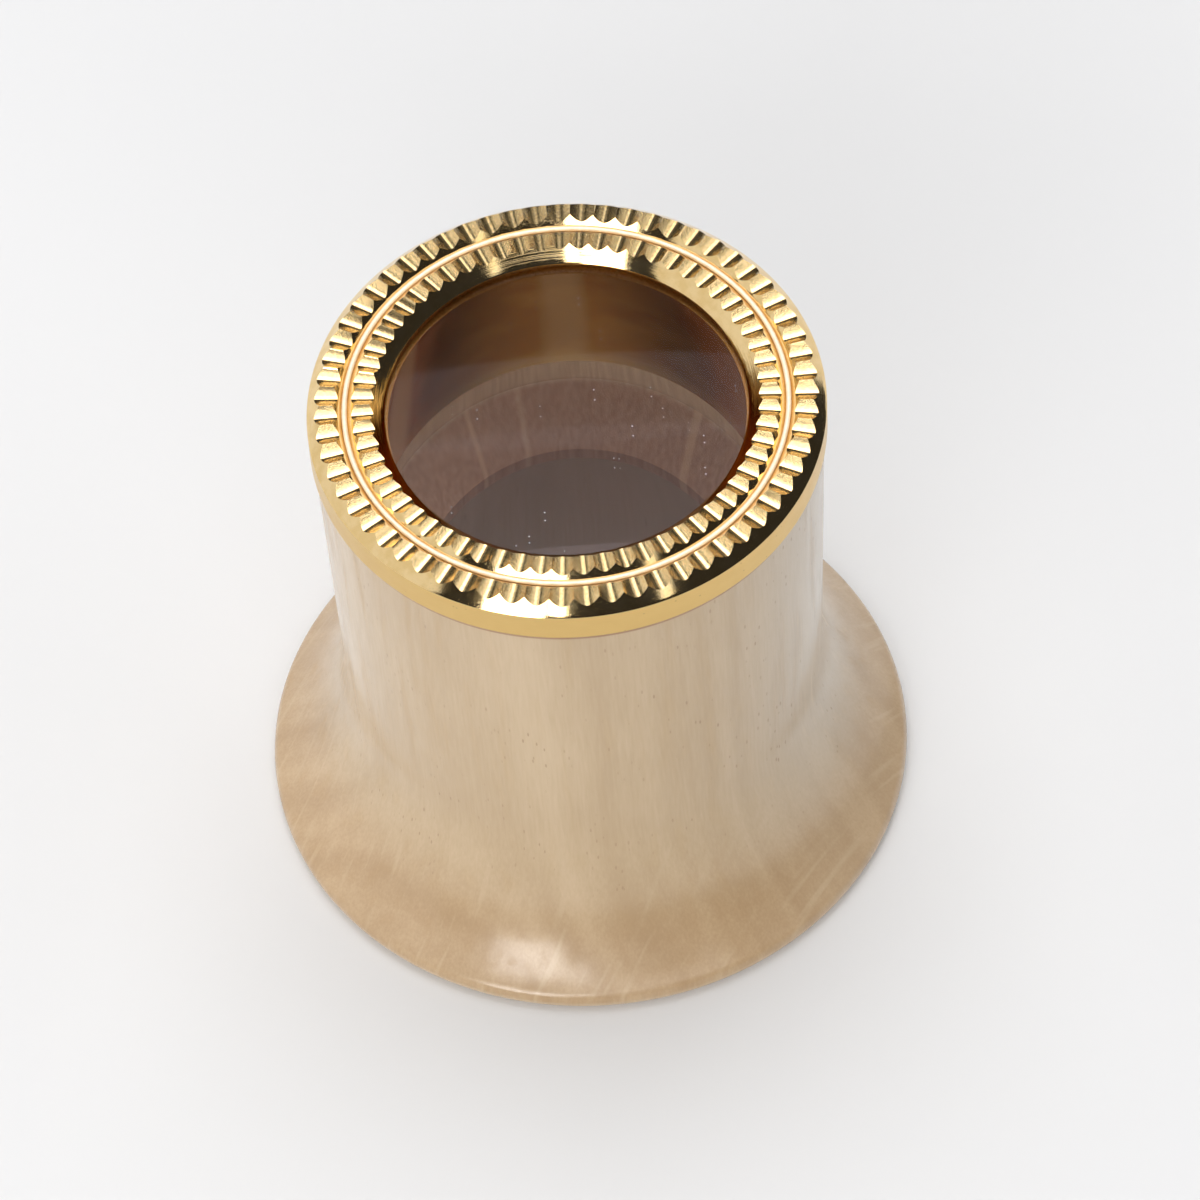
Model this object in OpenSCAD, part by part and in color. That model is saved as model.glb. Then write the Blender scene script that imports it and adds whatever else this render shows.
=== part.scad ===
// Watchmaker's eye loupe: a turned wooden eyecup with a fluted brass bezel that screws into its neck.
// The loupe stands on its eye end. The origin is the middle of that face and Z is the sight axis.

/* [Wooden body] */
// Diameter of the flared eye end
eye_d = 35; // [31:0.5:42]
// Height of the wood, from the eye end to the bezel seat
body_h = 29.2; // [28:0.1:40]
// Diameter of the neck at the bezel seat
neck_d = 26.7; // [26:0.1:30]
// Diameter of the neck at its waist
waist_d = 25.9; // [25.2:0.1:28]
// Height of the waist, where the neck turns into the flare
waist_h = 10.6; // [8:0.1:12.5]
// Rounding of the outer edge of the eye end
lip_r = 0.7; // [0.3:0.1:1.2]
// Width of the flat ring that the eye end stands on
rest_w = 0.9; // [0.5:0.1:1.5]
// Wall between the flare and the hollow of the eyecup
cup_wall = 2; // [1.2:0.1:2.6]
// Height of the sight hole's lower edge, the roof of the eyecup
roof_h = 16.7; // [13.5:0.1:17.2]
// Diameter of the sight hole
sight_d = 15.4; // [10:0.1:17]
// Height of the straight land inside the sight hole
sight_land = 0.6; // [0.3:0.1:2]
// Height of the cone that opens from the sight hole towards the lens
sight_cone_h = 2.2; // [1.4:0.1:4]
// Diameter of the bore above that cone
chamber_d = 19.2; // [18.8:0.1:20.2]

/* [Bezel] */
// Diameter of the bezel
bezel_d = 27; // [26.6:0.1:31]
// Height of the plain band that shows above the wood
band_h = 1.7; // [1:0.1:3]
// Slope of the polished chamfer outside the flutes, from level
chamfer_slope = 48; // [35:1:60]
// Diameter of the opening over the lens
window_d = 18.9; // [17:0.1:19.4]
// Depth of the opening's edge below the top of the band
window_drop = 0.08; // [0:0.02:0.3]
// Thickness of the opening's edge
window_edge = 0.2; // [0.1:0.05:0.4]
// Slope of the polished funnel inside the flutes, from level
funnel_slope = 48; // [35:1:60]
// Outer diameter of the threaded spigot
spigot_d = 22.8; // [22.4:0.1:23.4]
// Length of the spigot below the seat
spigot_l = 7.5; // [5:0.1:7.7]
// Chamfer at the tip of the spigot
spigot_chamfer = 0.25; // [0.1:0.05:0.4]

/* [Flutes] */
// Number of flutes round the bezel
flute_n = 63; // [36:1:90]
// Height of a flute's crease above the band, at the bezel's edge
crease_rise = 0.45; // [0.3:0.01:0.6]
// Climb of the crease towards the window, from level
crease_slope = 1.9; // [0:0.1:5]
// Slope of a flute's sides beside the crease
crease_flank = 12; // [6:1:20]
// Slope of a flute's sides halfway up
middle_flank = 27; // [18:1:32]
// Slope of a flute's sides below the ridge
ridge_flank = 34; // [28:1:45]
// Share of the half width that the lowest slope takes
crease_share = 0.3; // [0.1:0.05:0.4]
// Share of the half width that the middle slope takes
middle_share = 0.35; // [0.2:0.05:0.5]
// Inner diameter of the outer row of flutes
outer_row_d = 24.3; // [24:0.1:25]
// Outer diameter of the inner row of flutes
inner_row_d = 21.8; // [21.2:0.1:22]
// Slope of the sides of the trough between the rows, from level
trough_slope = 48; // [44:1:60]
// Height of the trough's floor above the band
trough_rise = 0.23; // [0.2:0.01:0.4]

/* [Bead wire] */
// Diameter of the circle on which the wire lies
bead_d = 23.06; // [22.9:0.02:23.2]
// Thickness of the wire
bead_w = 0.28; // [0.2:0.02:0.4]
// Share of the wire's thickness that is let into the trough's floor
bead_sunk = 0.25; // [0.1:0.05:0.4]

/* [Lens] */
// Diameter of the lens
lens_d = 19.8; // [19.6:0.1:20.6]
// Radius of both faces of the lens
lens_curve = 104; // [40:1:200]
// Thickness of the lens at its edge
lens_edge = 0.6; // [0.4:0.1:1.6]

/* [Lens tube] */
// Bore of the tube that holds the lens
tube_bore = 18.6; // [17.6:0.1:18.8]
// Length of the tube
tube_l = 8.7; // [7:0.1:8.9]
// Chamfer on the tube's ends
tube_chamfer = 0.12; // [0.05:0.01:0.25]

/* [Fits] */
// Radial clearance of the threads
thread_gap = 0.05; // [0.02:0.01:0.1]
// Gap between the lens and the pieces that hold it
lens_gap = 0.03; // [0.01:0.01:0.1]
// Gap under the spigot and the tube
end_gap = 0.3; // [0.2:0.05:0.6]

/* [Hidden] */
$fn = 180;
wire_fn = 48;
flare_steps = 20;
lip_steps = 8;
lens_steps = 12;
overshoot = 0.2;

eye_r = eye_d / 2;
neck_r = neck_d / 2;
waist_r = waist_d / 2;
bezel_r = bezel_d / 2;
spigot_r = spigot_d / 2;
window_r = window_d / 2;
lens_r = lens_d / 2;
chamber_r = chamber_d / 2;
sight_r = sight_d / 2;

// Points of an arc about a centre, from one angle to another
function arc(centre, radius, from, to, steps) =
    [for (i = [0 : steps]) let (a = from + (to - from) * i / steps)
        centre + radius * [cos(a), sin(a)]];

// Direction of a vector in degrees
function heading(v) = atan2(v[1], v[0]);

// The flare is one arc that leaves the neck at the waist and runs into the rounded lip
waist = [waist_r, waist_h];
lip = [eye_r - lip_r, lip_r];
neck_lean = atan((neck_r - waist_r) / (body_h - waist_h));
neck_side = [cos(neck_lean), -sin(neck_lean)];
waist_to_lip = waist - lip;
flare_r = (waist_to_lip * waist_to_lip - lip_r * lip_r) / (2 * (lip_r - neck_side * waist_to_lip));
flare_centre = waist + flare_r * neck_side;
flare_end = heading(lip - flare_centre) + 360;

// The hollow follows the flare a wall further in, then closes in a round roof
mouth_r = lip[0] - rest_w;
cup_r = flare_r + cup_wall;
cup_from = 180 + asin((flare_centre[1] - lip_r) / cup_r);
cup_edge = flare_centre + cup_r * [cos(cup_from), sin(cup_from)];
cup_top = flare_centre - [cup_r, 0];
inner_lip_r = mouth_r - cup_edge[0];
roof = [sight_r, roof_h];
roof_rise = roof_h - cup_top[1];
roof_run = cup_top[0] - sight_r;

// Heights
seat_z = body_h;
band_z = seat_z + band_h;
window_z = band_z - window_drop;
function lens_drop(r) = lens_curve - sqrt(pow(lens_curve, 2) - pow(r, 2));
lens_top_z = window_z - window_edge - lens_gap + lens_drop(window_r);
lens_bottom_z = lens_top_z - lens_edge - 2 * lens_drop(lens_r);
tube_top_z = lens_bottom_z + lens_drop(tube_bore / 2) - lens_gap;
tube_end_z = tube_top_z - tube_l;
shoulder_z = tube_end_z - end_gap;
spigot_end_z = seat_z - spigot_l;
cone_z = roof_h + sight_land;
chamber_z = cone_z + sight_cone_h;
cell_r = lens_r + lens_gap;
tube_r = cell_r - thread_gap;
socket_r = spigot_r + thread_gap;

// Cross-section of one flute's cut: its half width passes the ridge so that neighbours meet in an edge
past_ridge = 1.2;
flute_pitch = 360 / flute_n;
function pitch_half(r) = PI * r / flute_n;
crease_w = crease_share * pitch_half(bezel_r);
middle_w = (crease_share + middle_share) * pitch_half(bezel_r);
cut_w = past_ridge * pitch_half(bezel_r);
cut_h = 1.5;
function side_rise(w) = min(w, crease_w) * tan(crease_flank)
    + max(0, min(w, middle_w) - crease_w) * tan(middle_flank)
    + max(0, w - middle_w) * tan(ridge_flank);

// Crown of the bezel: its blank stands just above the ridges between the flutes
crease_z = band_z + crease_rise;
function ridge_at(r) = crease_z + (bezel_r - r) * tan(crease_slope) + side_rise(pitch_half(r));
ridge_spare = 0.02;
crown_z = max(ridge_at(window_r), ridge_at(bezel_r)) + ridge_spare;
crown_edge_r = bezel_r - (crown_z - band_z) / tan(chamfer_slope);
funnel_top_r = window_r + (crown_z - window_z) / tan(funnel_slope);
trough_z = band_z + trough_rise;
trough_run = (crown_z - trough_z) / tan(trough_slope);
bead_z = trough_z + (0.5 - bead_sunk) * bead_w;

// Wood from the eye end to the bezel seat, with its hollow, sight hole and socket
module eyecup_body() {
    color("BurlyWood")
    difference() {
        rotate_extrude() polygon(concat(
            [[0, 0], [lip[0], 0]],
            arc(lip, lip_r, -90, flare_end - 180, lip_steps),
            arc(flare_centre, flare_r, flare_end, 180 - neck_lean, flare_steps),
            [[neck_r, body_h], [0, body_h]]));
        rotate_extrude() polygon(concat(
            [[0, -overshoot], [mouth_r, -overshoot], [mouth_r, 0]],
            [for (i = [1 : lip_steps]) let (a = 90 * i / lip_steps)
                [mouth_r - inner_lip_r * sin(a), lip_r * (1 - cos(a))]],
            arc(flare_centre, cup_r, cup_from, 180, flare_steps),
            [for (i = [1 : lip_steps]) let (a = 90 * i / lip_steps)
                roof + [roof_run * cos(a), (sin(a) - 1) * roof_rise]],
            [[0, roof_h]]));
        translate([0, 0, roof_h - overshoot])
            cylinder(h = body_h - roof_h, r = sight_r);
        translate([0, 0, cone_z])
            cylinder(h = sight_cone_h, r1 = sight_r, r2 = chamber_r);
        translate([0, 0, chamber_z])
            cylinder(h = body_h - chamber_z, r = chamber_r);
        translate([0, 0, shoulder_z])
            cylinder(h = body_h - shoulder_z + overshoot, r = socket_r);
    }
}

// Bezel as it leaves the lathe, before the flutes are cut
module bezel_blank() {
    rotate_extrude() polygon([
        [cell_r, spigot_end_z],
        [spigot_r - spigot_chamfer, spigot_end_z],
        [spigot_r, spigot_end_z + spigot_chamfer],
        [spigot_r, seat_z],
        [bezel_r, seat_z],
        [bezel_r, band_z],
        [crown_edge_r, crown_z],
        [outer_row_d / 2, crown_z],
        [outer_row_d / 2 - trough_run, trough_z],
        [inner_row_d / 2 + trough_run, trough_z],
        [inner_row_d / 2, crown_z],
        [funnel_top_r, crown_z],
        [window_r, window_z],
        [window_r, window_z - window_edge],
        [cell_r, window_z - window_edge]]);
}

// One radial flute, cut in a single pass across both rows
module flute_cut() {
    translate([bezel_r, 0, crease_z])
        rotate([0, crease_slope, 0])
        rotate([90, 0, 90])
        translate([0, 0, window_r - bezel_r - overshoot])
        linear_extrude(height = bezel_r - window_r + 2 * overshoot)
        polygon([
            [0, 0],
            [crease_w, side_rise(crease_w)],
            [middle_w, side_rise(middle_w)],
            [cut_w, side_rise(cut_w)],
            [cut_w, cut_h],
            [-cut_w, cut_h],
            [-cut_w, side_rise(cut_w)],
            [-middle_w, side_rise(middle_w)],
            [-crease_w, side_rise(crease_w)]]);
}

// Gilt brass bezel with its two rows of flutes and its spigot
module bezel_ring() {
    color("Gold")
    difference() {
        bezel_blank();
        for (i = [0 : flute_n - 1])
            rotate([0, 0, (i + 0.5) * flute_pitch]) flute_cut();
        bead_wire();
    }
}

// Plain wire laid in the trough between the rows, in a seat of its own shape
module bead_wire() {
    color("Khaki")
    rotate_extrude()
        translate([bead_d / 2, bead_z]) circle(d = bead_w, $fn = wire_fn);
}

// Biconvex lens
module lens() {
    color("LightCyan")
    rotate_extrude() polygon(concat(
        [for (i = [0 : lens_steps]) let (r = lens_r * i / lens_steps)
            [r, lens_bottom_z + lens_drop(r)]],
        [for (i = [lens_steps : -1 : 0]) let (r = lens_r * i / lens_steps)
            [r, lens_top_z - lens_drop(r)]]));
}

// Tube that screws up into the bezel and holds the lens against the window
module lens_tube() {
    color("Goldenrod")
    rotate_extrude() polygon([
        [tube_bore / 2 + tube_chamfer, tube_end_z],
        [tube_r - tube_chamfer, tube_end_z],
        [tube_r, tube_end_z + tube_chamfer],
        [tube_r, tube_top_z - tube_chamfer],
        [tube_r - tube_chamfer, tube_top_z],
        [tube_bore / 2, tube_top_z],
        [tube_bore / 2, tube_end_z + tube_chamfer]]);
}

eyecup_body();
bezel_ring();
bead_wire();
lens();
lens_tube();
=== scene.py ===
import math

import bmesh
import bpy
import numpy as np
from mathutils import Matrix, Vector


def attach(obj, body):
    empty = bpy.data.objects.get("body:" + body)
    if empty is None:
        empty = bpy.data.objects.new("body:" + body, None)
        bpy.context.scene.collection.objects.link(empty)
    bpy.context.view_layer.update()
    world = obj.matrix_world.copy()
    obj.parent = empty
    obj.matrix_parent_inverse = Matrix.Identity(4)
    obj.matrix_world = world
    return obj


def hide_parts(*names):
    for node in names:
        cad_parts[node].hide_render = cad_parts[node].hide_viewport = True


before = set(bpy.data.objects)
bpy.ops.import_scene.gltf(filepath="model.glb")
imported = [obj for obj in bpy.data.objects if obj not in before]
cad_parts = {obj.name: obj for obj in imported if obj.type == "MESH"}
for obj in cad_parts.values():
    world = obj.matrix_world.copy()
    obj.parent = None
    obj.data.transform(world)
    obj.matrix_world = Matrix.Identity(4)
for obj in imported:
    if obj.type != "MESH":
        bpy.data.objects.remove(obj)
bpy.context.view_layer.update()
print("frame loaded:", sorted(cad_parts))

mm = 0.001
turn = 2 * math.pi


class Wire:  # a socket that can be used in sums
    def __init__(self, finish, socket):
        self.finish = finish
        self.socket = socket

    def maths(self, operation, *values):
        sockets = dict(enumerate(values))
        return self.finish.node("ShaderNodeMath", {"operation": operation}, sockets)

    def __add__(self, other):
        return self.maths("ADD", self, other)

    def __radd__(self, other):
        return self.maths("ADD", other, self)

    def __sub__(self, other):
        return self.maths("SUBTRACT", self, other)

    def __rsub__(self, other):
        return self.maths("SUBTRACT", other, self)

    def __mul__(self, other):
        return self.maths("MULTIPLY", self, other)

    def __rmul__(self, other):
        return self.maths("MULTIPLY", other, self)

    def __truediv__(self, other):
        return self.maths("DIVIDE", self, other)

    def clipped(self, low, high):  # 0 at low, 1 at high, smooth between
        return self.finish.node(
            "ShaderNodeMapRange", {"interpolation_type": "SMOOTHSTEP"},
            {"Value": self, "From Min": low, "From Max": high})

    def atMost(self, other):
        return self.maths("MINIMUM", self, other)


class Finish:  # one material, or the world, and the nodes in it
    def __init__(self, name, holders=bpy.data.materials):
        self.material = holders.new(name)
        self.material.use_nodes = True
        self.tree = self.material.node_tree
        self.tree.nodes.clear()

    def node(self, kind, settings=None, sockets=None, out=0):
        made = self.tree.nodes.new(kind)
        for key, value in (settings or {}).items():
            setattr(made, key, value)
        for key, value in (sockets or {}).items():
            if isinstance(value, Wire):
                self.tree.links.new(value.socket, made.inputs[key])
            else:
                made.inputs[key].default_value = value
        return Wire(self, made.outputs[out])

    def place(self):  # position on the piece in millimetres
        metres = self.node("ShaderNodeTexCoord", out=3)
        sockets = {0: metres, "Scale": 1 / mm}
        return self.node("ShaderNodeVectorMath", {"operation": "SCALE"}, sockets)

    def along(self, place, direction):
        return self.node(
            "ShaderNodeVectorMath", {"operation": "DOT_PRODUCT"}, {0: place, 1: direction}, out=1)

    def vector(self, x, y, z):
        return self.node("ShaderNodeCombineXYZ", {}, {0: x, 1: y, 2: z})

    def scaled(self, place, scales):
        return self.node("ShaderNodeVectorMath", {"operation": "MULTIPLY"}, {0: place, 1: scales})

    def radius(self, place):
        flat = self.scaled(place, (1, 1, 0))
        return self.node("ShaderNodeVectorMath", {"operation": "LENGTH"}, {0: flat}, out=1)

    def outward(self, place):  # direction away from the axis
        flat = self.scaled(place, (1, 1, 0))
        return self.node("ShaderNodeVectorMath", {"operation": "NORMALIZE"}, {0: flat})

    def noise(self, place, scale=1.0, detail=2.0, roughness=0.5):
        return self.node(
            "ShaderNodeTexNoise", {},
            {"Vector": place, "Scale": scale, "Detail": detail, "Roughness": roughness})

    def noise1(self, value, scale=1.0, detail=2.0):
        return self.node(
            "ShaderNodeTexNoise", {"noise_dimensions": "1D"},
            {"W": value, "Scale": scale, "Detail": detail})

    def cells(self, place, scale=1.0):  # distance to the nearest of scattered points
        return self.node("ShaderNodeTexVoronoi", {}, {"Vector": place, "Scale": scale})

    def mix(self, share, first, second):
        sockets = {0: share, 6: colour4(first), 7: colour4(second)}
        return self.node("ShaderNodeMix", {"data_type": "RGBA"}, sockets, out=2)

    def bump(self, height, distance, strength=1.0):
        sockets = {"Height": height, "Distance": distance * mm, "Strength": strength}
        return self.node("ShaderNodeBump", {}, sockets)

    def shader(self, sockets):
        return self.node("ShaderNodeBsdfPrincipled", {}, sockets)

    def done(self, surface, kind="ShaderNodeOutputMaterial"):
        output = self.tree.nodes.new(kind)
        self.tree.links.new(surface.socket, output.inputs["Surface"])
        return self.material


def colour4(value):
    return value if isinstance(value, Wire) else (*value, 1)


def roundMesh(name, radii, heights, angles, finishes, rowFinish=None, closed=True, sharp=32):
    # rows run along the profile and columns round the axis, all in millimetres
    rows, columns = radii.shape
    turnAngles = np.broadcast_to(angles, radii.shape)
    points = np.stack(
        [radii * np.cos(turnAngles), radii * np.sin(turnAngles), heights], axis=-1) * mm
    faces, kinds = [], []
    last = rows if closed else rows - 1
    for i in range(last):
        low, high = i * columns, ((i + 1) % rows) * columns
        kind = rowFinish[i] if rowFinish else 0
        for j in range(columns):
            k = (j + 1) % columns
            faces.append((low + j, low + k, high + k, high + j))
            kinds.append(kind)
    mesh = bpy.data.meshes.new(name)
    mesh.from_pydata(points.reshape(-1, 3).tolist(), [], faces)
    mesh.polygons.foreach_set("material_index", kinds)
    tidy = bmesh.new()
    tidy.from_mesh(mesh)
    bmesh.ops.remove_doubles(tidy, verts=tidy.verts, dist=1e-8)
    bmesh.ops.recalc_face_normals(tidy, faces=tidy.faces)
    tidy.to_mesh(mesh)
    tidy.free()
    mesh.polygons.foreach_set("use_smooth", [True] * len(mesh.polygons))
    mesh.set_sharp_from_angle(angle=math.radians(sharp))
    for finish in finishes:
        mesh.materials.append(finish)
    piece = bpy.data.objects.new(name, mesh)
    bpy.context.scene.collection.objects.link(piece)
    return piece


def spun(name, profile, columns, finishes, rowFinish=None, closed=True, sharp=32):
    radii = np.repeat(np.array([p[0] for p in profile], float)[:, None], columns, axis=1)
    heights = np.repeat(np.array([p[1] for p in profile], float)[:, None], columns, axis=1)
    angles = np.arange(columns) * turn / columns
    return roundMesh(name, radii, heights, angles, finishes, rowFinish, closed, sharp)


def arcPoints(centre, radius, start, end, steps):
    found = []
    for i in range(steps + 1):
        a = math.radians(start + (end - start) * i / steps)
        found.append((centre[0] + radius * math.cos(a), centre[1] + radius * math.sin(a)))
    return found


def between(first, second, steps):  # points after first, up to and with second
    return [tuple(a + (b - a) * (i + 1) / steps for a, b in zip(first, second))
            for i in range(steps)]


wood = {
    "eyeR": 17.5, "bodyH": 29.2, "neckR": 13.35, "waistR": 12.95, "waistH": 10.6,
    "lipR": 0.7, "restW": 0.9, "cupWall": 2.0, "roofH": 16.7, "sightR": 7.7,
    "sightLand": 0.6, "coneH": 2.2, "chamberR": 9.6, "shoulderZ": 20.862, "socketR": 11.45,
    "edgeR": 0.1,                        # softened edge at the bezel seat
    "grainTurn": 50.0,                   # direction of the wood's rays seen from above
    "pithAway": 70.0,
    "ringWidth": 2.3,
    "neckLight": (0.61, 0.455, 0.28), "neckDark": (0.5, 0.355, 0.2),
    "flareLight": (0.59, 0.415, 0.24), "flareDark": (0.44, 0.285, 0.145),
    # the first colour on the next line is a painted sheen for the right side of the neck
    "paintedSheen": (0.64, 0.55, 0.44), "ray": (0.66, 0.5, 0.32),
    # the last colour on the next line is the dark joint line under the band together with painted
    # contact shade
    "tick": (0.28, 0.15, 0.065), "jointAndShadeColour": (0.3, 0.14, 0.05),
    "stain": (0.36, 0.2, 0.115), "thinStain": (0.46, 0.28, 0.17), "bareStreak": (0.66, 0.46, 0.27),
    "bare": (0.6, 0.44, 0.27), "bareLight": (0.72, 0.56, 0.36),
    "coatWear": 0.5, "coatRoughness": 0.19,
}


def grain(finish, place):  # the block's own directions: along its rays, across them, and up
    a = math.radians(wood["grainTurn"])
    ray = finish.along(place, (math.cos(a), math.sin(a), 0.03))
    across = finish.along(place, (-math.sin(a), math.cos(a), 0.0))
    up = finish.along(place, (0, 0, 1))
    return ray, across, up


def lacqueredWood():
    f = Finish("lacqueredWood")
    place = f.place()
    ray, across, up = grain(f, place)
    drift = f.noise(f.scaled(place, (0.12, 0.12, 0.035)), 1, 2)
    fromPith = f.node(
        "ShaderNodeVectorMath", {"operation": "LENGTH"},
        {0: f.vector(ray + wood["pithAway"], across, 0.0)}, out=1)
    rings = f.noise1((fromPith + drift * 3.2) / wood["ringWidth"], 1, 2.5)
    fibre = f.noise(f.vector(ray * 7, across * 7, up * 0.45), 1, 3, 0.6)
    streak = f.noise(f.vector(ray * 1.3, across * 1.3, up * 0.09), 1, 3, 0.55)
    cloud = f.noise(f.scaled(place, (0.2, 0.2, 0.12)), 1, 3)
    radius = f.radius(place)
    flare = radius.clipped(12.9, 15.6)
    rayNoise = f.noise(f.vector(ray * 0.13, across * 2.6, up * 0.25), 1, 1.5, 0.5)
    rays = rayNoise.clipped(0.56, 0.76)
    tickCells = f.cells(f.vector(ray * 2.2, across * 3.0, up * 0.8), 1)
    tickChance = f.noise(f.scaled(place, (0.35, 0.35, 0.2)), 1, 2).clipped(0.42, 0.66)
    ticks = (1 - tickCells.clipped(0.09, 0.18)) * tickChance

    tone = rings * 0.4 + streak * 0.25 + cloud * 0.25 + fibre * 0.3
    shade = tone.clipped(0.32, 0.8)
    neck = f.mix(shade, wood["neckLight"], wood["neckDark"])
    foot = f.mix(shade, wood["flareLight"], wood["flareDark"])
    colour = f.mix(flare, neck, foot)
    colour = f.mix(rays * (0.06 + 0.24 * flare), colour, wood["ray"])
    # painted sheen: the right side of the neck is paled where the lacquer would mirror the pale
    # floor
    sheenSide = f.along(place, (1, 0.2, 0)).clipped(3, 14)
    colour = f.mix(sheenSide * (0.5 - 0.35 * flare), colour, wood["paintedSheen"])
    # painted light: the lower rounding of the lip is lightened where the floor's bounce would light
    # it
    paintedLipLight = (1 - up.clipped(0.35, 0.9)) * radius.clipped(16.7, 17.2)
    colour = f.mix(paintedLipLight * 0.8, colour, wood["ray"])
    colour = f.mix(ticks * (1 - flare) * 0.55, colour, wood["tick"])
    # dark joint line under the bezel band, widened with painted contact shade under the band's
    # overhang
    jointLineAndShade = up.clipped(28.78, 28.9)
    colour = f.mix(jointLineAndShade * 0.8, colour, wood["jointAndShadeColour"])
    height = fibre * 0.6 + streak * 0.3 - ticks * 0.8
    normal = f.bump(height, 0.012, 0.4)
    rough = 0.42 + fibre * 0.16
    return f.done(f.shader({
        "Base Color": colour, "Roughness": rough, "Normal": normal, "Specular IOR Level": 0.4,
        "Coat Weight": 1 - streak.clipped(0.5, 0.75) * wood["coatWear"],
        "Coat Roughness": wood["coatRoughness"], "Coat IOR": 1.5}))


def boredWood():  # inside of the body: stained brown, with raw pale wood above the cone
    f = Finish("boredWood")
    place = f.place()
    ray, across, up = grain(f, place)
    fibre = f.noise(f.vector(ray * 5, across * 5, up * 0.4), 1, 3, 0.6)
    outward = f.outward(place)
    streak = f.noise(f.scaled(outward, (9, 9, 0)), 1, 1, 0.5)
    raw = up.clipped(19.3, 19.7) * (1 - up.clipped(27.5, 28.0))
    brown = f.mix(fibre.clipped(0.3, 0.7), wood["stain"], wood["thinStain"])
    brown = f.mix(streak.clipped(0.6, 0.66) * 0.5, brown, wood["bareStreak"])
    pale = f.mix(fibre.clipped(0.3, 0.7), wood["bare"], wood["bareLight"])
    colour = f.mix(raw, brown, pale)
    normal = f.bump(fibre, 0.03, 0.5)
    return f.done(f.shader({
        "Base Color": colour, "Roughness": 0.6 + fibre * 0.2, "Normal": normal,
        "Specular IOR Level": 0.3}))


def woodProfile():
    w = wood
    lean = math.atan((w["neckR"] - w["waistR"]) / (w["bodyH"] - w["waistH"]))
    side = np.array([math.cos(lean), -math.sin(lean)])
    waist = np.array([w["waistR"], w["waistH"]])
    lip = np.array([w["eyeR"] - w["lipR"], w["lipR"]])
    run = waist - lip
    flareR = (run @ run - w["lipR"] ** 2) / (2 * (w["lipR"] - side @ run))
    centre = waist + flareR * side
    flareEnd = math.degrees(math.atan2(lip[1] - centre[1], lip[0] - centre[0])) % 360
    mouthR = lip[0] - w["restW"]
    cupR = flareR + w["cupWall"]
    cupFrom = 180 + math.degrees(math.asin((centre[1] - w["lipR"]) / cupR))
    cupEdge = centre + cupR * np.array(
        [math.cos(math.radians(cupFrom)), math.sin(math.radians(cupFrom))])
    innerLip = mouthR - cupEdge[0]
    roofRun = centre[0] - cupR - w["sightR"]
    roofRise = w["roofH"] - centre[1]
    edge = w["edgeR"]
    top = w["bodyH"]

    outer = [(mouthR, 0.0)] + between((mouthR, 0.0), (lip[0], 0.0), 2)
    outer += arcPoints(lip, w["lipR"], -90, flareEnd - 180, 12)[1:]
    outer += arcPoints(centre, flareR, flareEnd, 180 - math.degrees(lean), 72)[1:]
    outer += between(outer[-1], (w["neckR"] - 0.01, top - edge), 30)
    outer += arcPoints((w["neckR"] - edge, top - edge), edge, 0, 90, 4)[1:]
    outer += between(outer[-1], (w["socketR"] + 0.05, top), 3)
    coneZ = w["roofH"] + w["sightLand"]
    inner = [(w["socketR"], top - 0.05)]
    inner += between(inner[-1], (w["socketR"], w["shoulderZ"]), 6)
    inner += between(inner[-1], (w["chamberR"], w["shoulderZ"]), 2)
    inner += between(inner[-1], (w["chamberR"], coneZ + w["coneH"]), 3)
    inner += between(inner[-1], (w["sightR"], coneZ), 10)
    inner += between(inner[-1], (w["sightR"], w["roofH"] + 0.1), 3)
    roof = [(w["sightR"] + roofRun * math.cos(a), w["roofH"] + (math.sin(a) - 1) * roofRise)
            for a in np.radians(np.linspace(84, 0, 20))]
    cup = arcPoints(centre, cupR, 180, cupFrom, 40)[1:]
    rim = [(mouthR - innerLip * math.sin(a), w["lipR"] * (1 - math.cos(a)))
           for a in np.radians(np.linspace(84, 6, 12))]
    rows = outer + inner + roof + cup + rim
    bored = len(inner) + 1
    hollow = len(rows) - len(outer) - len(inner)
    return rows, [0] * (len(outer) - 1) + [1] * bored + [0] * hollow


rows, rowFinish = woodProfile()
bodyPiece = spun("turnedBody", rows, 288, [lacqueredWood(), boredWood()], rowFinish, sharp=40)
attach(bodyPiece, "cup")
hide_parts("eyecup_body")
print("wooden body made")


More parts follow.
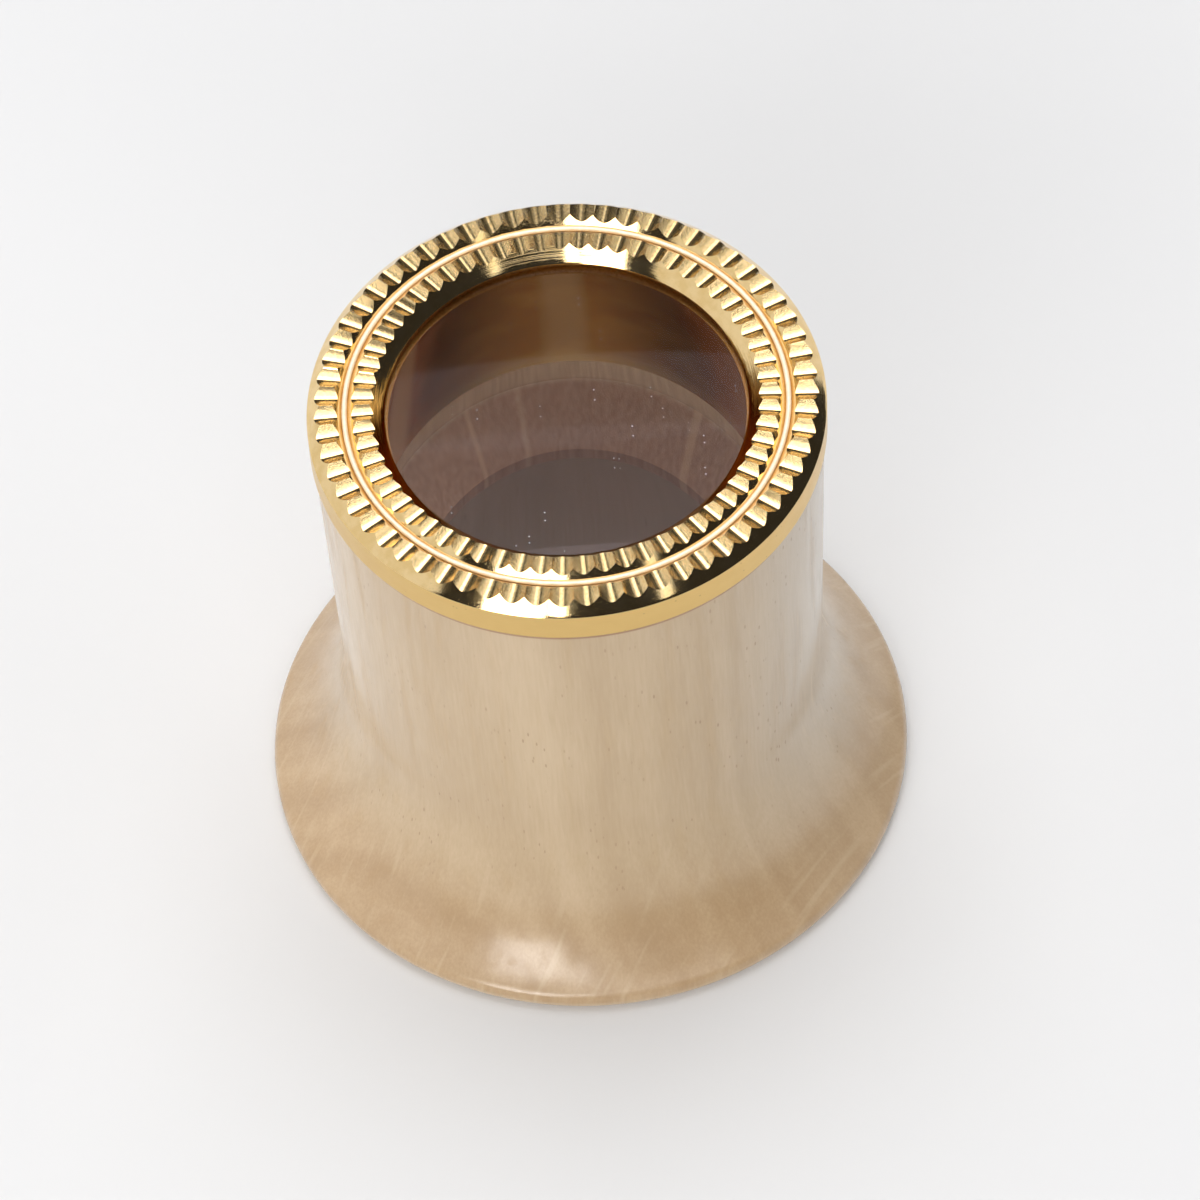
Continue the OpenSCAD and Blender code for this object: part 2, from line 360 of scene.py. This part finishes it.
bezel = {
    "r": 13.5, "seatZ": 29.2, "bandZ": 30.9, "chamferSlope": 48.0,
    "windowR": 9.45, "windowZ": 30.82, "windowEdge": 0.2, "funnelSlope": 48.0,
    "cellR": 9.93, "spigotR": 11.4, "spigotEndZ": 21.7, "spigotChamfer": 0.25,
    "threadPitch": 1.0, "threadDepth": 0.32, "threadSteps": 8,
    "flutes": 63, "creaseRise": 0.45, "creaseSlope": 1.36, "outerRowR": 12.15, "innerRowR": 10.9,
    "troughSlope": 48.0, "beadR": 11.53, "beadW": 0.28, "beadZ": 31.2,
    "ridgeShare": 0.476,                 # height of a ridge over half the pitch
    "hollow": 1.7,                       # 1 is a plain V, 2 a round-nosed cut
    "edge": 0.035,                       # tiny roundings on the turned edges
    "ridgeWander": 0.02, "handCut": 0.012,
    "gold": (0.93, 0.69, 0.35), "deepGold": (0.86, 0.61, 0.27), "millGold": (0.89, 0.63, 0.29),
    "bandGold": (0.76, 0.52, 0.195), "bandDeep": (0.75, 0.51, 0.19), "pit": (0.35, 0.2, 0.08),
    # the two rim colours are painted reflection and painted shade for the opening's edge and the
    # tube's top end
    "rim": (0.42, 0.2, 0.05), "rimDeep": (0.32, 0.14, 0.03),
    "thread": (0.78, 0.55, 0.24), "threadDeep": (0.66, 0.43, 0.17),
    # the wire colours on the next line are paled as a painted sheen
    "wire": (1.0, 0.84, 0.66), "wireDeep": (0.95, 0.78, 0.58),
}


def sampleAcross():  # places across one flute, in half pitches from its crease
    one = [0.0, 0.16, 0.31, 0.46, 0.6, 0.74, 0.88]
    return [-v for v in one[:0:-1]] + one + [1.0]


def bezelGrid():
    b = bezel
    rng = np.random.default_rng(63)
    across = sampleAcross()
    perFlute = len(across)
    count = b["flutes"] * perFlute
    half = math.pi / b["flutes"]
    share = np.tile(np.array(across), b["flutes"])
    flute = np.repeat(np.arange(b["flutes"]), perFlute)
    wander = rng.normal(0, 1, b["flutes"])
    depth = -np.abs(rng.normal(0, 1, b["flutes"]))
    angle = (flute + 0.5) * 2 * half + share * half
    isRidge = share == 1.0
    shift = np.where(isRidge, wander[flute] * b["ridgeWander"] / b["r"], 0.0)
    angle = angle + shift
    offset = np.where(isRidge, half, share * half)
    creaseFall = math.tan(math.radians(b["creaseSlope"]))
    section = np.abs(share) ** b["hollow"]
    lowered = depth[flute] * b["handCut"]
    nextLowered = depth[(flute + 1) % b["flutes"]] * b["handCut"]
    lowered = np.where(isRidge, (lowered + nextLowered) / 2, lowered)

    def cut(r):  # height of the cut surface at radius r, for every column
        rise = b["ridgeShare"] * half * r * section
        crease = b["bandZ"] + b["creaseRise"] + (b["r"] - r * np.cos(offset)) * creaseFall
        return crease + rise + lowered

    def meet(r, blankHeight, slope):  # where the cut meets a turned cone of the given slope
        radius = np.full(count, float(r))
        for _ in range(30):
            radius = radius + (blankHeight(radius) - cut(radius)) / slope
        return radius

    chamfer = math.tan(math.radians(b["chamferSlope"]))
    funnel = math.tan(math.radians(b["funnelSlope"]))
    wall = math.tan(math.radians(b["troughSlope"]))

    def ridgeHeight(r):
        return b["bandZ"] + b["creaseRise"] + (b["r"] - r) * creaseFall + half * r * b["ridgeShare"]

    crown = ridgeHeight(b["outerRowR"]) + 0.02
    wireR = b["beadW"] / 2
    outerFoot, innerFoot = b["beadR"] + wireR, b["beadR"] - wireR
    outerFootZ = crown - (b["outerRowR"] - outerFoot) * wall
    innerFootZ = crown - (innerFoot - b["innerRowR"]) * wall
    r1 = meet(13.1, lambda r: b["bandZ"] + (b["r"] - r) * chamfer, chamfer)
    r2 = meet(12.0, lambda r: crown - (b["outerRowR"] - r) * wall, -wall)
    r3 = meet(11.1, lambda r: crown - (r - b["innerRowR"]) * wall, wall)
    r4 = meet(9.9, lambda r: b["windowZ"] + (r - b["windowR"]) * funnel, -funnel)

    radii, heights, kinds = [], [], []

    def row(r, z, kind):
        radii.append(np.broadcast_to(np.asarray(r, float), (count,)).copy())
        heights.append(np.broadcast_to(np.asarray(z, float), (count,)).copy())
        kinds.append(kind)

    e = b["edge"]
    for r, z in arcPoints((b["r"] - e, b["seatZ"] + e), e, -90, 0, 3):
        row(r, z, 0)
    for r, z in between((b["r"], b["seatZ"] + e), (b["r"], b["bandZ"] - e), 3):
        row(r, z, 0)
    bend = 90 - b["chamferSlope"]
    reach = e * math.tan(math.radians(bend / 2))
    for r, z in arcPoints((b["r"] - e, b["bandZ"] - reach), e, 0, bend, 3)[1:]:
        row(r, z, 1)
    startR, startZ = radii[-1][0], heights[-1][0]
    for step in range(1, 4):
        t = step / 4
        r = startR + (r1 - startR) * t
        row(r, startZ + (startR - r) * chamfer, 1)
    for step in range(7):
        r = r1 + (r2 - r1) * step / 6
        row(r, cut(r), 2 if step < 6 else 1)
    row((r2 + outerFoot) / 2, (cut(r2) + outerFootZ) / 2, 1)
    row(outerFoot, outerFootZ, 1)
    for r, z in arcPoints((b["beadR"], b["beadZ"]), wireR + 0.002, -30, -150, 6):
        row(r, z, 1)
    row(innerFoot, innerFootZ, 1)
    row((innerFoot + r3) / 2, (innerFootZ + cut(r3)) / 2, 1)
    for step in range(7):
        r = r3 + (r4 - r3) * step / 6
        row(r, cut(r), 2 if step < 6 else 5)
    for t in (0.33, 0.66):
        r = r4 + (b["windowR"] + 0.02 - r4) * t
        row(r, b["windowZ"] + (r - b["windowR"]) * funnel, 5)
    row(b["windowR"] + 0.02, b["windowZ"] + 0.02 * funnel, 4)
    row(b["windowR"], b["windowZ"] - 0.01, 4)
    row(b["windowR"], b["windowZ"] - b["windowEdge"], 4)
    row(b["cellR"], b["windowZ"] - b["windowEdge"], 3)
    row(b["cellR"], 27.0, 3)
    row(b["cellR"], b["spigotEndZ"], 3)
    row(b["spigotR"] - b["spigotChamfer"] - 0.1, b["spigotEndZ"], 3)
    threadTop = b["seatZ"] - 0.6
    threadLow = b["spigotEndZ"] + b["spigotChamfer"]
    steps = int(round((threadTop - threadLow) / b["threadPitch"] * b["threadSteps"]))
    for i in range(steps + 1):
        z = threadLow + (threadTop - threadLow) * i / steps
        phase = (z / b["threadPitch"] - angle / turn) % 1
        groove = (0.5 + 0.5 * np.cos(turn * phase)) ** 0.8
        fade = min(1, i / 4, (steps - i) / 4)
        row(b["spigotR"] - b["threadDepth"] * groove * fade - (1 - fade) * 0.1, z, 3)
    row(b["spigotR"] - 0.12, b["seatZ"] - 0.5, 3)
    row(b["spigotR"] - 0.12, b["seatZ"], 3)
    return np.array(radii), np.array(heights), angle, kinds


def satinGilt():  # the plain band: satin, with fine pits and a faint cloudiness
    f = Finish("satinGilt")
    place = f.place()
    cloud = f.noise(f.scaled(place, (0.9, 0.9, 1.6)), 1, 3)
    fine = f.noise(f.scaled(place, (9, 9, 9)), 1, 4, 0.65)
    pits = 1 - f.cells(f.scaled(place, (1.6, 1.6, 1.6))).clipped(0.05, 0.1)
    colour = f.mix(cloud.clipped(0.3, 0.7), bezel["bandGold"], bezel["bandDeep"])
    colour = f.mix(pits * 0.5, colour, bezel["pit"])
    normal = f.bump(fine - pits * 0.7, 0.012, 0.6)
    rough = 0.24 + cloud * 0.14
    return f.done(f.shader({
        "Base Color": colour, "Metallic": 1.0, "Roughness": rough, "Normal": normal}))


def mirrorGilt(name, groove):  # the two cones and the trough, with turning lines this deep
    f = Finish(name)
    place = f.place()
    radius = f.radius(place)
    lines = f.noise1(radius, 14, 3)
    swept = f.noise(f.scaled(place, (1.1, 1.1, 1.1)), 1, 3)
    marks = f.noise(f.scaled(place, (12, 12, 12)), 1, 3, 0.7)
    colour = f.mix(swept.clipped(0.35, 0.65), bezel["gold"], bezel["deepGold"])
    normal = f.bump(marks * 0.002 + lines * groove, 1.0, 0.5)
    rough = 0.07 + marks.clipped(0.5, 0.75) * 0.12
    return f.done(f.shader({
        "Base Color": colour, "Metallic": 1.0, "Roughness": rough, "Normal": normal}))


def milledGilt():  # the flutes: bright, with the torn grain that the cutter left
    f = Finish("milledGilt")
    place = f.place()
    torn = f.noise(f.scaled(place, (6, 6, 6)), 1, 2, 0.5)
    crumbs = f.noise(f.scaled(place, (10, 10, 10)), 1, 3, 0.7)
    facing = f.along(f.node("ShaderNodeNewGeometry", out=1), (0, 0, 1))
    patch = f.noise(f.scaled(place, (0.16, 0.16, 0.16)), 1, 2).clipped(0.4, 0.55)
    steep = (1 - facing.clipped(0.84, 0.965)) * patch
    colour = f.mix(torn.clipped(0.35, 0.7), bezel["gold"], bezel["millGold"])
    normal = f.bump(torn * 0.5 + crumbs * steep * 4.0, 0.016, 0.8)
    rough = 0.17 + torn * 0.12
    return f.done(f.shader({
        "Base Color": colour, "Metallic": 1.0, "Roughness": rough, "Normal": normal}))


def threadBrass():
    f = Finish("threadBrass")
    place = f.place()
    fine = f.noise(f.scaled(place, (2, 2, 14)), 1, 3)
    colour = f.mix(fine.clipped(0.3, 0.7), bezel["thread"], bezel["threadDeep"])
    normal = f.bump(fine, 0.01, 0.5)
    return f.done(f.shader({
        "Base Color": colour, "Metallic": 1.0, "Roughness": 0.28 + fine * 0.15, "Normal": normal}))


def rimShadeGilt():  # the opening's edge, dull where the lens beds against it; its dark amber is a painted reflection of the dim inside, with painted shade at the joint
    f = Finish("rimShadeGilt")
    place = f.place()
    fine = f.noise(f.scaled(place, (6, 6, 6)), 1, 2)
    colour = f.mix(fine.clipped(0.3, 0.7), bezel["rim"], bezel["rimDeep"])
    normal = f.bump(fine, 0.006, 0.5)
    return f.done(f.shader({
        "Base Color": colour, "Metallic": 1.0, "Roughness": 0.34 + fine * 0.12, "Normal": normal}))


radii, heights, angles, kinds = bezelGrid()
finishes = [satinGilt(), mirrorGilt("mirrorGilt", 0.0015), milledGilt(), threadBrass(), rimShadeGilt(),
            mirrorGilt("turnedFunnel", 0.008)]
ringPiece = roundMesh("flutedBezel", radii, heights, angles, finishes, kinds, sharp=12)
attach(ringPiece, "bezel")
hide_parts("bezel_ring")
print("bezel made:", len(ringPiece.data.polygons), "faces")


# painted sheen: a pale cream base and low metalness make the bead bright all round, in place of its
# mirror of the overhead light
def sheenWireGilt():
    f = Finish("sheenWireGilt")
    place = f.place()
    fine = f.noise(f.scaled(place, (5, 5, 5)), 1, 3)
    colour = f.mix(fine.clipped(0.35, 0.65), bezel["wire"], bezel["wireDeep"])
    normal = f.bump(fine, 0.006, 0.5)
    return f.done(f.shader({
        "Base Color": colour, "Metallic": 0.3, "Roughness": 0.42 + fine * 0.12, "Normal": normal}))


def beadPiece():
    b = bezel
    columns, around = 360, 14
    angles = np.arange(columns) * turn / columns
    radii, heights = [], []
    for i in range(around):
        a = turn * i / around
        size = b["beadW"] / 2 - 0.002 + 0.002 * np.sin(angles * 37) * np.sin(angles * 11)
        radii.append(b["beadR"] + size * math.cos(a))
        heights.append(b["beadZ"] + size * math.sin(a))
    return roundMesh("beadWire", np.array(radii), np.array(heights), angles, [sheenWireGilt()], sharp=60)


wirePiece = beadPiece()
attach(wirePiece, "bezel")
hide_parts("bead_wire")


lensCell = {
    "lensR": 9.9, "curve": 104.0, "topZ": 31.0202, "bottomZ": 29.4756,
    "tubeBoreR": 9.3, "tubeR": 9.88, "tubeTopZ": 29.8623, "tubeEndZ": 21.1623, "chamfer": 0.12,
    "tint": (0.97, 0.965, 0.96), "clear": (0.97, 0.97, 0.97), "dust": (0.8, 0.84, 0.9),
    "topGloss": (0.42, 0.34, 0.36), "lowGloss": (0.01, 0.01, 0.01),  # 1 mirrors like bare glass
    # the last colour on the next line and the first on the line after are painted highlights for
    # the tube's streaks
    "tube": (0.66, 0.29, 0.065), "tubeDeep": (0.54, 0.22, 0.045), "paintedStreak": (0.9, 0.6, 0.3),
    "bright": (1.0, 0.85, 0.55), "lighterLowerEnd": (0.9, 0.58, 0.2),
}


def clearGlass():
    f = Finish("clearGlass")
    place = f.place()
    specks = f.cells(f.scaled(place, (1.3, 1.3, 0)))
    chance = f.noise(f.scaled(place, (0.8, 0.8, 0)), 1, 1).clipped(0.45, 0.6)
    dust = (1 - specks.clipped(0.03, 0.07)) * chance
    faces = [f.shader({
        "Base Color": (*lensCell["tint"], 1), "Roughness": 0.0, "IOR": 1.52,
        "Specular Tint": (*lensCell[gloss], 1), "Transmission Weight": 1.0})
        for gloss in ("lowGloss", "topGloss")]
    isTop = f.along(place, (0, 0, 1)).clipped(30.2, 30.3)
    glass = f.node("ShaderNodeMixShader", {}, {0: isTop, 1: faces[0], 2: faces[1]})
    grit = f.shader({"Base Color": (*lensCell["dust"], 1), "Roughness": 0.9})
    dusty = f.node("ShaderNodeMixShader", {}, {0: dust * 0.6, 1: glass, 2: grit})
    clear = f.node("ShaderNodeBsdfTransparent", {}, {"Color": (*lensCell["clear"], 1)})
    isShadow = f.node("ShaderNodeLightPath", out=1)
    diffuseDepth = f.node("ShaderNodeLightPath", out=10)
    glossyDepth = f.node("ShaderNodeLightPath", out=11)
    indirect = (isShadow + diffuseDepth + glossyDepth).atMost(1.0)    # bounced light goes straight
    return f.done(f.node("ShaderNodeMixShader", {}, {0: indirect, 1: dusty, 2: clear}))


def lensPiece():
    g = lensCell
    columns, steps = 144, 28
    spread = [g["lensR"] * (i / steps) ** 0.8 for i in range(steps + 1)]
    drops = [g["curve"] - math.sqrt(g["curve"] ** 2 - r ** 2) for r in spread]
    upper = [(r, g["topZ"] - drop) for r, drop in zip(spread, drops)]
    lower = [(r, g["bottomZ"] + drop) for r, drop in zip(spread, drops)][::-1]
    rim = between(upper[-1], lower[0], 3)[:-1]
    return spun(
        "lensGlass", upper + rim + lower, columns, [clearGlass()], closed=False, sharp=50)


def turnedBrass():  # amber brass, with the fine rings of its turning and two painted highlight streaks
    f = Finish("turnedBrass")
    place = f.place()
    up = f.along(place, (0, 0, 1))
    rings = f.noise1(up, 16, 3)
    stain = f.noise(f.scaled(place, (0.25, 0.25, 0.5)), 1, 3)
    outward = f.outward(place)
    colour = f.mix(stain.clipped(0.3, 0.7), lensCell["tube"], lensCell["tubeDeep"])
    # painted reflections: two vertical highlight streaks on fixed sides of the tube
    paintedStreak = f.along(outward, (0.02, 1, 0)).clipped(0.988, 1.0)
    colour = f.mix(paintedStreak * 0.4, colour, lensCell["paintedStreak"])
    paintedStreak = f.along(outward, (-0.89, 0.46, 0)).clipped(0.985, 1.0)
    colour = f.mix(paintedStreak, colour, lensCell["bright"])
    # lighter towards the tube's lower end
    lighterLowerEnd = 1 - up.clipped(21.3, 22.6)
    colour = f.mix(lighterLowerEnd * 0.5, colour, lensCell["lighterLowerEnd"])
    normal = f.bump(rings, 0.006, 0.5)
    return f.done(f.shader({
        "Base Color": colour, "Metallic": 1.0, "Roughness": 0.14 + stain * 0.1, "Normal": normal}))


def tubePiece():
    g = lensCell
    c = g["chamfer"]
    low, high = (g["tubeR"], g["tubeEndZ"] + c), (g["tubeR"], g["tubeTopZ"] - c)
    outer = [(g["tubeR"] - c, g["tubeEndZ"]), low] + between(low, high, 6)
    outer.append((g["tubeR"] - c, g["tubeTopZ"]))
    inner = [(g["tubeBoreR"], g["tubeTopZ"])]
    inner += between(inner[0], (g["tubeBoreR"], g["tubeEndZ"] + c), 24)
    inner.append((g["tubeBoreR"] + c, g["tubeEndZ"]))
    finishes = [0] * (len(outer) + len(inner))
    finishes[len(outer) - 1] = 1                          # the end that beds on the glass, painted dark as the shade of that joint
    return spun("lensTube", outer + inner, 256, [turnedBrass(), rimShadeGilt()], finishes, sharp=30)


lensObject = lensPiece()
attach(lensObject, "lens_mount")
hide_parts("lens")
tubeObject = tubePiece()
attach(tubeObject, "lens_mount")
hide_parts("lens_tube")
print("lens and tube made")


studio = {
    "floorR": 0.26, "floorColour": (0.79, 0.79, 0.795), "dark": (0.03, 0.03, 0.032),
    "backdrop": (0.86, 0.86, 0.86),
    "aim": (0, 0, 0.03), "away": 0.9,
    # azimuth from +X, elevation, width and height as angles in degrees, then two radiances:
    # what lights the dull surfaces, and what the polished ones mirror
    "lamps": {
        "overhead": (90, 89, 50, 50, 0.75, 2.2),
        "backSoftbox": (90, 64, 46, 42, 3.2, 0.0),
        "backHigh": (90, 68.5, 46, 40, 0.0, 0.9),
        "backHigher": (90, 71.5, 46, 34, 0.0, 0.9),
        "leftSoftbox": (174, 15, 80, 54, 1.05, 0.8),
        "frontLeft": (-115, 24, 20, 19, 3.0, 7.4),
        "frontStrip": (-99, 30, 5.2, 8, 6.0, 8.0),
        "frontFill": (-105, 28, 70, 30, 2.6, 0.0),
        "frontRight": (-76, 40, 40, 9, 0.0, 2.0),
        "frontHigh": (-90, 60, 80, 16, 0.0, 0.4),
        "rightStrip": (-57.5, 29, 4.4, 8, 1.5, 1.5),
        "rightHigh": (0, 50, 60, 20, 1.35, 1.1),
    },
}


def paleFloor():
    f = Finish("paleFloor")
    place = f.place()
    fine = f.noise(f.scaled(place, (1.5, 1.5, 1.5)), 1, 2)
    normal = f.bump(fine, 0.01, 0.2)
    return f.done(f.shader({
        "Base Color": (*studio["floorColour"], 1), "Roughness": 0.9, "Normal": normal,
        "Specular IOR Level": 0.1}))


mesh = bpy.data.meshes.new("floorSheet")
sides = 96
floorTurns = [turn * i / sides for i in range(sides)]
mesh.from_pydata(
    [(studio["floorR"] * math.cos(a), studio["floorR"] * math.sin(a), 0) for a in floorTurns],
    [], [tuple(range(sides))])
mesh.materials.append(paleFloor())
floorSheet = bpy.data.objects.new("floorSheet", mesh)
bpy.context.scene.collection.objects.link(floorSheet)


def addLamp(name, mirrored, azimuth, elevation, wide, high, radiance):
    lamp = bpy.data.lights.new(name, "AREA")
    lamp.shape = "RECTANGLE"
    away = studio["away"] * (0.97 if mirrored else 1)    # a card hangs in front of its lamp
    lamp.size = 2 * away * math.tan(math.radians(wide / 2))
    lamp.size_y = 2 * away * math.tan(math.radians(high / 2))
    lamp.energy = radiance * math.pi * lamp.size * lamp.size_y
    a, e = math.radians(azimuth), math.radians(elevation)
    out = Vector((math.cos(a) * math.cos(e), math.sin(a) * math.cos(e), math.sin(e)))
    held = bpy.data.objects.new(name, lamp)
    held.location = Vector(studio["aim"]) + out * away
    held.rotation_mode = "QUATERNION"
    held.rotation_quaternion = out.to_track_quat("Z", "Y")
    held.visible_camera = False
    held.visible_glossy = mirrored
    held.visible_diffuse = not mirrored
    bpy.context.scene.collection.objects.link(held)


for name, (*place, lit, mirrored) in studio["lamps"].items():
    if lit:
        addLamp(name + "Light", False, *place, lit)
    if mirrored:
        addLamp(name + "Card", True, *place, mirrored)

room = Finish("studioRoom", bpy.data.worlds)
isSeen = room.node("ShaderNodeLightPath")
air = room.mix(isSeen, studio["dark"], studio["backdrop"])
air = room.node("ShaderNodeBackground", {}, {"Color": air})
bpy.context.scene.world = room.done(air, "ShaderNodeOutputWorld")
bpy.context.scene.view_settings.view_transform = "Standard"

photoView = {
    "frame": 1200, "focal": 6980.0,      # both in the photograph's pixels
    "target": (0, 0, 0.0309), "distance": 0.361868, "elevation": 52.717, "roll": 4.154,
    "targetX": -33.5, "targetY": -193.55,
}


def addCamera():
    v = photoView
    e, roll = math.radians(v["elevation"]), math.radians(v["roll"])
    right = Vector((1, 0, 0))
    ahead = Vector((0, math.cos(e), -math.sin(e)))
    above = Vector((0, math.sin(e), math.cos(e)))
    rolledRight = right * math.cos(roll) - above * math.sin(roll)
    rolledUp = right * math.sin(roll) + above * math.cos(roll)
    pan = math.atan2(v["targetX"], v["focal"])
    tilt = math.atan2(v["targetY"], v["focal"])
    x = rolledRight * math.cos(pan) + ahead * math.sin(pan)
    ahead = ahead * math.cos(pan) - rolledRight * math.sin(pan)
    y = rolledUp * math.cos(tilt) - ahead * math.sin(tilt)
    ahead = rolledUp * math.sin(tilt) + ahead * math.cos(tilt)
    lens = bpy.data.cameras.new("photoCamera")
    lens.sensor_width = 36
    lens.lens = 36 * v["focal"] / v["frame"]
    lens.clip_start, lens.clip_end = 0.01, 20
    held = bpy.data.objects.new("photoCamera", lens)
    straight = Vector((0, math.cos(e), -math.sin(e)))
    spot = Vector(v["target"]) - straight * v["distance"]
    held.matrix_world = Matrix((
        (x[0], y[0], -ahead[0], spot[0]), (x[1], y[1], -ahead[1], spot[1]),
        (x[2], y[2], -ahead[2], spot[2]), (0, 0, 0, 1)))
    bpy.context.scene.collection.objects.link(held)
    bpy.context.scene.camera = held


addCamera()
print("stage, lamps and camera made")
